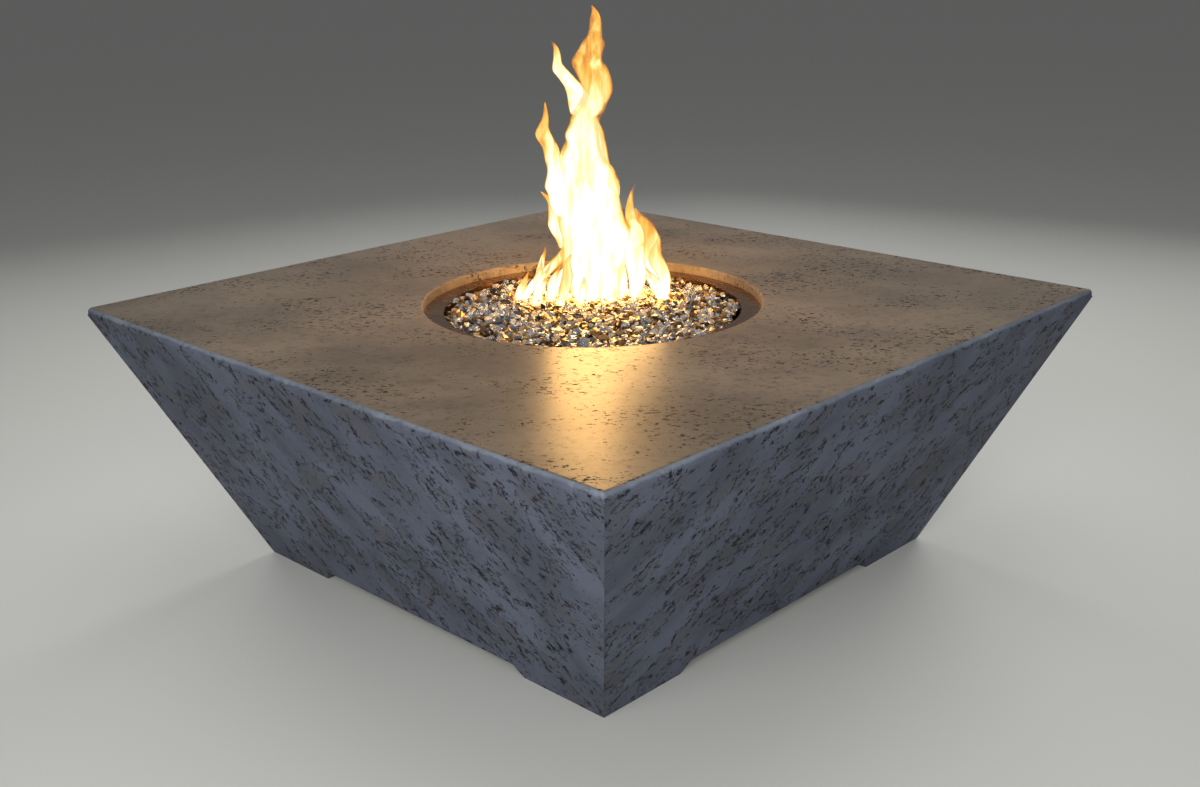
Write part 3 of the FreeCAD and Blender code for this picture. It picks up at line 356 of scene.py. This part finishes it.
def brushed_steel(name, code, tint, rough, grain_mm):
    """Rolled stainless sheet, brushed: fine lines that blur reflections, with a faint stain in its tone."""
    made, tree, output = finish(name)
    place = add(tree, "TexCoord").outputs["Object"]
    grain = marks(tree, place, (60, grain_mm, grain_mm), 1.0, 3.0)
    stain = marks(tree, place, (70, 50, 50), 3.0)
    stains = add(tree, "MapRange", {0: stain, 1: 0.35, 2: 0.7})
    colour = add(tree, "MixRGB", {0: stains, 1: linear(code), 2: linear(tint)})
    worn = add(tree, "MapRange", {0: grain, 1: 0.3, 2: 0.7, 3: rough - 0.07, 4: rough + 0.07})
    bump = add(tree, "Bump", {"Height": grain, "Distance": 0.00006, "Strength": 0.5})
    surface(tree, output, {"Base Color": colour, "Metallic": 1.0, "Roughness": worn, "Normal": bump})
    return made


def plain_metal(name, code, dark, rough, spot_mm, depth):
    """A machined, plated or cast metal: an uneven tone and a fine surface that breaks up its shine."""
    made, tree, output = finish(name)
    place = add(tree, "TexCoord").outputs["Object"]
    spots = marks(tree, place, (spot_mm, spot_mm, spot_mm), 1.0)
    tone = add(tree, "MapRange", {0: spots, 1: 0.3, 2: 0.7})
    colour = add(tree, "MixRGB", {0: tone, 1: linear(dark), 2: linear(code)})
    worn = add(tree, "MapRange", {0: spots, 1: 0.3, 2: 0.7, 3: rough + 0.08, 4: rough - 0.05})
    bump = add(tree, "Bump", {"Height": spots, "Distance": depth, "Strength": 0.5})
    surface(tree, output, {"Base Color": colour, "Metallic": 1.0, "Roughness": worn, "Normal": bump})
    return made


def grained(name, code, dark, rough, grain_mm):
    """A moulded, glazed or printed finish: an even colour with a fine grain that softens its highlights."""
    made, tree, output = finish(name)
    place = add(tree, "TexCoord").outputs["Object"]
    grain = marks(tree, place, (grain_mm, grain_mm, grain_mm), 1.0, 2.0)
    tone = add(tree, "MapRange", {0: grain, 1: 0.3, 2: 0.7})
    colour = add(tree, "MixRGB", {0: tone, 1: linear(dark), 2: linear(code)})
    bump = add(tree, "Bump", {"Height": grain, "Distance": 0.00008, "Strength": 0.6})
    surface(tree, output, {"Base Color": colour, "Roughness": rough, "Normal": bump})
    return made


# Fire glass

# Each finish of the glass: its share of the pieces and their tones
GLASS_KINDS = {
    "clear_glass": (54, ["#e2ddd3", "#c6c0b7", "#ecd8b4", "#a8aeb5"]),
    "bronze_glass": (30, ["#ad8653", "#c9a168", "#7a5a38", "#93714a"]),
    "smoke_glass": (16, ["#2f2f31", "#1b1917", "#42484f", "#4e3e30"]),
}
NUGGET_MM = 18.0
NUGGET_POINTS = 11
SHAPES_PER_TONE = 4

# The heap: the pieces' spacing, rows set closer as in a hexagonal packing, layers one under another
NUGGET_PITCH = 0.0148
ROW_SHARE = 0.866
NUGGET_LAYERS = 4
LAYER_STEP = 0.0095
HEAP_DROP = 0.007
SIDE_JITTER = 0.003
HEIGHT_JITTER = 0.0035

# How far a layer's edge keeps from the bed's, in shares of a piece's length
TOP_INSET = 0.25
LOWER_INSET = 0.6


def fire_glass(name):
    """Tempered glass, broken and tumbled: sharp little glints on clear, bronze-backed and smoked pieces."""
    made, tree, output = finish(name)
    tone = add(tree, "Attribute", attribute_name="tone").outputs["Color"]
    if name == "clear_glass":
        surface(tree, output, {
            "Base Color": tone, "Roughness": 0.04, "IOR": 1.5, "Transmission Weight": 0.7,
        })
    elif name == "bronze_glass":
        surface(tree, output, {"Base Color": tone, "Roughness": 0.12, "Metallic": 0.8})
    else:
        surface(tree, output, {"Base Color": tone, "Roughness": 0.06, "IOR": 1.5, "Coat Weight": 0.6})
    return made


def nuggets(rng, tones):
    """Angular pebbles of up to about twenty faces, each the hull of scattered points, in every tone."""
    made = []
    for tone in tones * SHAPES_PER_TONE:
        bm = bmesh.new()
        for _ in range(NUGGET_POINTS):
            point = Vector((rng.gauss(0, 1), rng.gauss(0, 1), rng.gauss(0, 1))).normalized()
            spread = Vector((rng.uniform(0.85, 1.1), rng.uniform(0.65, 0.95), rng.uniform(0.4, 0.7)))
            bm.verts.new(point * spread * (NUGGET_MM * MM / 2))
        hull = bmesh.ops.convex_hull(bm, input=bm.verts)
        bmesh.ops.delete(bm, geom=hull["geom_interior"], context="VERTS")
        layer = bm.loops.layers.float_color.new("tone")
        for face in bm.faces:
            for loop in face.loops:
                loop[layer] = linear(tone)
        data = bpy.data.meshes.new("nugget")
        bm.to_mesh(data)
        bm.free()
        made.append(data)
    return made


def glass_bed():
    """Layers of fire glass over the burner, in three finishes and many sizes."""
    rng = random.Random(7)
    kinds = {name: nuggets(rng, tones) for name, (share, tones) in GLASS_KINDS.items()}
    shares = [share for share, tones in GLASS_KINDS.values()]
    heaps = {name: bmesh.new() for name in GLASS_KINDS}
    rows = int(BED_RADIUS / (NUGGET_PITCH * ROW_SHARE)) + 1
    for layer in range(NUGGET_LAYERS):
        # The top layer crowds against the pan's rim, and the lower ones keep clear of its wall
        reach = BED_RADIUS - NUGGET_MM * MM * (TOP_INSET if layer == 0 else LOWER_INSET)
        for row in range(-rows, rows + 1):
            for column in range(-rows - 2, rows + 3):
                x = (column + (row % 2) / 2 + layer * 0.33) * NUGGET_PITCH + rng.uniform(-1, 1) * SIDE_JITTER
                y = (row + layer * 0.6) * NUGGET_PITCH * ROW_SHARE + rng.uniform(-1, 1) * SIDE_JITTER
                out = math.hypot(x, y)
                if out > reach:
                    continue
                crown = BED_RIM + (BED_CROWN - BED_RIM) * (1 - (out / BED_RADIUS) ** 2)
                z = crown - HEAP_DROP - layer * LAYER_STEP + rng.uniform(-1, 1) * HEIGHT_JITTER
                name = rng.choices(list(GLASS_KINDS), shares)[0]
                spin = Matrix.Rotation(rng.uniform(0, math.tau), 4, "Z")
                tilt = Matrix.Rotation(rng.gauss(0, 0.6), 4, "X")
                size = Matrix.Scale(rng.triangular(0.6, 1.45, 0.85), 4)
                place = Matrix.Translation((x, y, z)) @ spin @ tilt @ size
                nugget = rng.choice(kinds[name])
                nugget.transform(place)
                # A piece that would stand as high as the table's top is left out
                if max(vert.co.z for vert in nugget.vertices) < TABLE_HIGH - MM:
                    heaps[name].from_mesh(nugget)
                nugget.transform(place.inverted())
    for name, heap in heaps.items():
        heaped = piece_from(heap, name + "_pieces", fire_glass(name))
        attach(heaped, "table")
        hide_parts("fire_glass_bed")


# The springs

WIRE_SIDES = 8
STEPS_PER_TURN = 18


def span(points, way):
    """Where some points begin and end along a direction."""
    reached = [point.dot(way) for point in points]
    return min(reached), max(reached)


def coil_spring(name, body, joint_name, turns, wire, steel):
    """A coil of round wire in its sleeve's place, along its joint's axis, fixed to its body."""
    joint = joint_named(joint_name)
    push = Vector(joint["axis"])
    side = Vector((1, 0, 0))
    other = push.cross(side)
    sleeve = [vert.co for vert in frame["nodes"][name].data.vertices]
    left, right = span(sleeve, side)
    low, high = span(sleeve, other)
    free, fixed = span(sleeve, push)
    start = side * (left + right) / 2 + other * (low + high) / 2 + push * (free + wire / 2)
    steps = turns * STEPS_PER_TURN
    bm = bmesh.new()
    ring = Matrix.Translation(((right - left - wire) / 2, 0, 0)) @ Matrix.Rotation(math.pi / 2, 4, "X")
    bmesh.ops.create_circle(bm, segments=WIRE_SIDES, radius=wire / 2, matrix=ring)
    bmesh.ops.spin(bm, geom=bm.verts[:] + bm.edges[:], cent=(0, 0, 0), axis=(0, 0, 1),
                   dvec=(0, 0, (fixed - free - wire) / steps), angle=math.tau * turns, steps=steps)
    ends = [edge for edge in bm.edges if edge.is_boundary]
    bmesh.ops.holes_fill(bm, edges=ends, sides=WIRE_SIDES)
    bmesh.ops.recalc_face_normals(bm, faces=bm.faces)
    upright = Matrix((side, other, push)).transposed().to_4x4()
    bmesh.ops.transform(bm, matrix=Matrix.Translation(start) @ upright, verts=bm.verts)
    coil = piece_from(bm, name + "_coil", steel, smooth=True)
    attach(coil, body)
    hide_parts(name)
    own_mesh(coil)


# The dial

# Each word round the knob, with the knob's turn in degrees at which the pointer meets it
DIAL_MARKS = [("OFF", 0), ("2", 60), ("4", 120), ("6", 180)]
LETTER_HIGH = 0.0085
LETTER_RADIUS = 0.0365
TICK_RADIUS = 0.0275
TICK = Vector((0.0045, 0.0012, 0.0003))


def dial(ink):
    """OFF and three numbers round the knob, each with a tick, printed on the faceplate."""
    turn = joint_named("knob_turn")
    out = Vector(turn["axis"])
    across = Vector((-1, 0, 0))
    up = out.cross(across)
    axis = Vector(turn["pos_m"])
    plate = frame["nodes"]["control_panel"].data
    front = max(vert.co.dot(out) for vert in plate.vertices)
    centre = axis + out * (front - axis.dot(out) + TICK.z / 2)
    upright = Matrix((across, up, out)).transposed().to_4x4()
    whole = bmesh.new()
    for word, degrees in DIAL_MARKS:
        angle = math.radians(90 + degrees)
        spoke = across * math.cos(angle) + up * math.sin(angle)
        curve = bpy.data.curves.new("word", "FONT")
        curve.body = word
        curve.size = LETTER_HIGH
        curve.extrude = TICK.z / 2
        curve.align_x = "CENTER"
        curve.align_y = "CENTER"
        holder = bpy.data.objects.new("word", curve)
        letters = bpy.data.meshes.new_from_object(holder)
        bpy.data.objects.remove(holder)
        letters.transform(Matrix.Translation(centre + spoke * LETTER_RADIUS) @ upright)
        whole.from_mesh(letters)
        along = Matrix((spoke, out.cross(spoke), out)).transposed().to_4x4()
        place = Matrix.Translation(centre + spoke * TICK_RADIUS) @ along @ Matrix.Diagonal((*TICK, 1))
        bmesh.ops.create_cube(whole, size=1, matrix=place)
    marks_piece = piece_from(whole, "dial_marks", ink)
    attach(marks_piece, "table")


# The flame, which is no part of the object

# Tongues of the flame as the photograph's outline has them: height above the glass, offset to the
# viewer's right, half width; the last number of each is how far it stands towards the viewer
TONGUES = [
    ([(-0.01, 0.006, 0.044), (0.05, 0.001, 0.060), (0.12, -0.004, 0.066), (0.19, -0.014, 0.063),
      (0.26, -0.012, 0.050), (0.32, -0.004, 0.036), (0.385, 0.004, 0.029), (0.44, 0.002, 0.022),
      (0.49, 0.008, 0.012), (0.533, 0.016, 0.001)], 0.0),
    ([(0.16, -0.048, 0.022), (0.23, -0.066, 0.024), (0.29, -0.074, 0.016), (0.365, -0.080, 0.001)], 0.012),
    ([(0.09, -0.050, 0.018), (0.13, -0.068, 0.022), (0.16, -0.084, 0.014), (0.195, -0.101, 0.001)], -0.01),
    ([(-0.01, 0.080, 0.010), (0.05, 0.082, 0.018), (0.11, 0.080, 0.020), (0.165, 0.072, 0.012),
      (0.21, 0.078, 0.001)], 0.01),
    ([(-0.01, 0.136, 0.008), (0.03, 0.128, 0.015), (0.075, 0.108, 0.024), (0.12, 0.094, 0.018),
      (0.165, 0.078, 0.001)], -0.01),
    ([(-0.01, 0.140, 0.007), (0.03, 0.132, 0.011), (0.07, 0.120, 0.013), (0.11, 0.123, 0.001)], 0.01),
    ([(0.34, -0.016, 0.018), (0.40, -0.036, 0.014), (0.44, -0.048, 0.009), (0.475, -0.056, 0.001)], 0.0),
    ([(-0.01, -0.136, 0.007), (0.015, -0.118, 0.010), (0.05, -0.086, 0.013), (0.085, -0.060, 0.012),
      (0.12, -0.050, 0.001)], 0.01),
    ([(-0.008, -0.146, 0.006), (0.015, -0.134, 0.009), (0.045, -0.120, 0.001)], 0.0),
    ([(0.02, -0.112, 0.004), (0.04, -0.102, 0.007), (0.065, -0.098, 0.006), (0.095, -0.097, 0.001)], -0.01),
    ([(-0.012, -0.062, 0.005), (0.01, -0.056, 0.009), (0.05, -0.048, 0.011), (0.09, -0.044, 0.001)], 0.05),
]

# The small jets at the foot, how far the whole flame stands behind the middle, and how deep it is
JETS = 14
FLAME_BACK = 0.080
DEPTH_SHARE = 0.7
FLAME_SIDES = 20
CUTS_PER_RING = 8
FLAME_SEED = 3

# How far the gas sways and curls, and the height over which it comes loose from the glass
SWAY = 0.024
CURL = 0.009
LOOSE_HEIGHT = 0.12

# The flame's strength as a lamp, and as gloss mirrors it
LAMP_STRENGTH = 26.0
MIRRORED_STRENGTH = 10.5


def burning_gas():
    """A luminous gas flame: white in the thick middle, amber and thin at the edges and the tips."""
    made, tree, output = finish("burning_gas")
    place = add(tree, "TexCoord").outputs["Object"]
    edge = add(tree, "LayerWeight", {"Blend": 0.5}).outputs["Facing"]
    edges = add(tree, "MapRange", {0: edge, 1: 0.15, 2: 0.95, 4: 0.72})
    spent = add(tree, "Attribute", attribute_name="spent").outputs["Fac"]
    tips = add(tree, "MapRange", {0: spent, 1: 0.30, 2: 1.0, 4: 0.72})
    lick = marks(tree, place, (16, 16, 110), 2.0, 3.0)
    licks = add(tree, "MapRange", {0: lick, 1: 0.35, 2: 0.68, 3: -0.16, 4: 0.24})
    higher = add(tree, "Math", {0: edges, 1: tips}, operation="ADD")
    thin = add(tree, "Math", {0: higher, 1: licks}, operation="ADD")
    colour = add(tree, "ValToRGB", {"Fac": thin}, stops=[
        (0.0, (1.0, 0.95, 0.84, 1)), (0.34, (0.95, 0.76, 0.32, 1)), (0.54, (0.90, 0.44, 0.07, 1)),
        (0.85, (0.60, 0.15, 0.01, 1)),
    ])
    shine = add(tree, "Emission", {"Color": colour, "Strength": 1.4})
    path = add(tree, "LightPath")
    power = add(tree, "MapRange", {
        0: path.outputs["Is Glossy Ray"], 3: LAMP_STRENGTH, 4: MIRRORED_STRENGTH,
    })
    warmth = add(tree, "Emission", {"Color": linear("#ffc475"), "Strength": power})
    glow = add(tree, "MixShader", {0: path.outputs["Is Camera Ray"], 1: warmth, 2: shine})
    cover = add(tree, "MapRange", {0: thin, 1: 0.38, 2: 0.95, 3: 1.0, 4: 0.0})
    clear = add(tree, "BsdfTransparent")
    shell = add(tree, "MixShader", {0: cover, 1: clear, 2: glow})
    tree.links.new(shell.outputs[0], output.inputs["Surface"])
    return made


def between(rings, share):
    """Rise, offset and half width at a share of a tongue's length, along a smooth line through its rings."""
    spot = share * (len(rings) - 1)
    first = min(int(spot), len(rings) - 2)
    part = spot - first
    before, here, after, beyond = (
        Vector(rings[min(max(first + step, 0), len(rings) - 1)]) for step in (-1, 0, 1, 2)
    )
    bend = 2 * before - 5 * here + 4 * after - beyond
    turn = 3 * here - before - 3 * after + beyond
    return (2 * here + (after - before) * part + bend * part ** 2 + turn * part ** 3) / 2


def jets(rng):
    """Small jets along the flame's foot, written like the tongues."""
    made = []
    for _ in range(JETS):
        across = rng.uniform(-0.120, 0.135)
        high = rng.uniform(0.025, 0.085)
        wide = rng.uniform(0.004, 0.009)
        lean = rng.uniform(-0.02, 0.02) - across * 0.25
        rings = [(-0.012, across, wide * 0.6), (high * 0.35, across + lean * 0.3, wide),
                 (high * 0.7, across + lean * 0.7, wide * 0.7), (high, across + lean, 0.001)]
        made.append((rings, rng.uniform(-0.06, 0.05)))
    return made


def flame():
    """Tongues of flame over the glass, standing in the plane that faces the photograph's viewer."""
    right = view_axes()[0]
    right = Vector((right.x, right.y, 0)).normalized()
    near = Vector((right.y, -right.x, 0))
    foot = Vector((0, 0, BED_CROWN - 0.004)) - near * FLAME_BACK
    # Without a seed the noise starts from the clock, and the flame would differ from run to run
    noise.seed_set(FLAME_SEED)
    whole = bmesh.new()
    for rings, toward in TONGUES + jets(random.Random(FLAME_SEED)):
        bm = bmesh.new()
        spent = bm.verts.layers.float.new("spent")
        bmesh.ops.create_cone(bm, cap_ends=True, segments=FLAME_SIDES, radius1=1, radius2=1, depth=1)
        uprights = [edge for edge in bm.edges if abs(edge.verts[0].co.z - edge.verts[1].co.z) > 0.5]
        bmesh.ops.subdivide_edges(bm, edges=uprights, cuts=CUTS_PER_RING * len(rings))
        for vert in bm.verts:
            share = min(max(vert.co.z + 0.5, 0), 1)
            vert[spent] = share
            rise, across, wide = between(rings, share)
            deep = toward + wide * DEPTH_SHARE * vert.co.y
            spot = foot + right * (across + wide * vert.co.x) + near * deep
            spot.z += rise
            sway = noise.noise_vector(Vector((spot.x * 9 + toward * 40, spot.y * 9, spot.z * 13)))
            curl = noise.noise_vector(Vector((spot.x * 30, spot.y * 30, spot.z * 30)))
            loose = min(max(rise, 0) / LOOSE_HEIGHT, 1)
            vert.co = spot + (right * sway.x + near * sway.y) * SWAY * loose + curl * CURL * loose
        data = bpy.data.meshes.new("tongue")
        bm.to_mesh(data)
        bm.free()
        whole.from_mesh(data)
    bmesh.ops.recalc_face_normals(whole, faces=whole.faces)
    tongues = piece_from(whole, "gas_flame", burning_gas(), smooth=True)


# The table in its room, each solid in its own finish

photographer()
studio()
dress(cast_concrete(), "concrete_body")
# Stainless sheet that the fire has tinted: straw to brown, satin, so the flame glows in it
dress(brushed_steel("heat_tinted_stainless", "#84623f", "#a87848", 0.24, 1.2), "burner_pan")
# Stainless sheet, brushed: a cool light grey whose highlights are drawn out across the grain
dress(brushed_steel("brushed_stainless", "#b9bab8", "#c4c5c4", 0.30, 0.8), "control_panel", "pilot_bracket")
# The burner's stainless after some use: duller and warmer
dress(brushed_steel("burner_stainless", "#8d8780", "#a3937f", 0.36, 1.0), "star_burner")
# Steel with a thin zinc plate: bright bluish grey, a little cloudy
dress(plain_metal("zinc_plated_steel", "#c0c3c6", "#9a9da2", 0.34, 9, 0.00003),
      "burner_nipple", "burner_locknuts", "valve_stem", "valve_screws", "panel_screws", "pilot_screws")
# Brass turned from bar: warm yellow with clean highlights
dress(plain_metal("turned_brass", "#c9a45c", "#a8843f", 0.30, 7, 0.00003),
      "air_mixer", "gas_orifice", "hose_nuts", "valve_plug", "magnet_unit", "panel_inserts",
      "inlet_fitting")
# Aluminium as it leaves the die: pale grey, matt and slightly pebbled
dress(plain_metal("cast_aluminium", "#b1b3b4", "#8c8e90", 0.48, 2.2, 0.00012), "valve_body", "pilot_tube")
# Drawn spring wire: darker grey, smooth
SPRING_STEEL = plain_metal("spring_steel", "#9da0a3", "#7d8084", 0.30, 4, 0.00002)
coil_spring("stem_spring", "valve_turn", "knob_push", 5, 0.0010, SPRING_STEEL)
coil_spring("button_spring", "cap", "igniter_press", 7, 0.0008, SPRING_STEEL)
# Fine steel braid: its strands break the shine into small sparks
dress(plain_metal("braided_stainless", "#a8aaab", "#6f7173", 0.42, 1.6, 0.0004), "burner_hose")
# Chrome plate: the brightest and smoothest piece of the panel
dress(plain_metal("chromed_button", "#d6d8da", "#b9bbbe", 0.12, 12, 0.00001), "igniter_button")
# Drawn copper: pinkish brown, darker where it has aired
dress(plain_metal("drawn_copper", "#b87a55", "#8f5a3c", 0.34, 6, 0.00003), "thermocouple_lead",
      "thermocouple")
# Pressed steel that the pilot flame has dulled: warm grey
dress(plain_metal("pilot_steel", "#9b958c", "#77716a", 0.36, 6, 0.00003), "pilot_burner")
# Black glass-filled nylon: moulded, near black, its fine grain spreads the highlights
dress(grained("black_glass_filled_nylon", "#1d1d1f", "#121213", 0.46, 1.1),
      "control_knob", "igniter_body", "igniter_nut", "igniter_cap")
# White plastic pressed into the knob: an even off-white line
dress(grained("white_inlay_plastic", "#e6e6e2", "#d8d8d4", 0.4, 1.5), "knob_pointer")
# The cell's plastic jacket: slate blue, shrunk smooth
dress(grained("cell_jacket", "#3b4a5a", "#2c3844", 0.35, 3.0), "igniter_battery")
# Silicone rubber insulation: dull brick red
dress(grained("silicone_wire_jacket", "#8c2f26", "#74251e", 0.5, 1.4), "igniter_wire")
# Alumina with a clear glaze: cream white with small sharp highlights
dress(grained("glazed_ceramic", "#ece6da", "#ddd5c6", 0.22, 2.0), "spark_electrode")
# Screen-printed ink: flat black
dial(grained("printed_ink", "#151516", "#0c0c0d", 0.55, 1.0))
glass_bed()
flame()
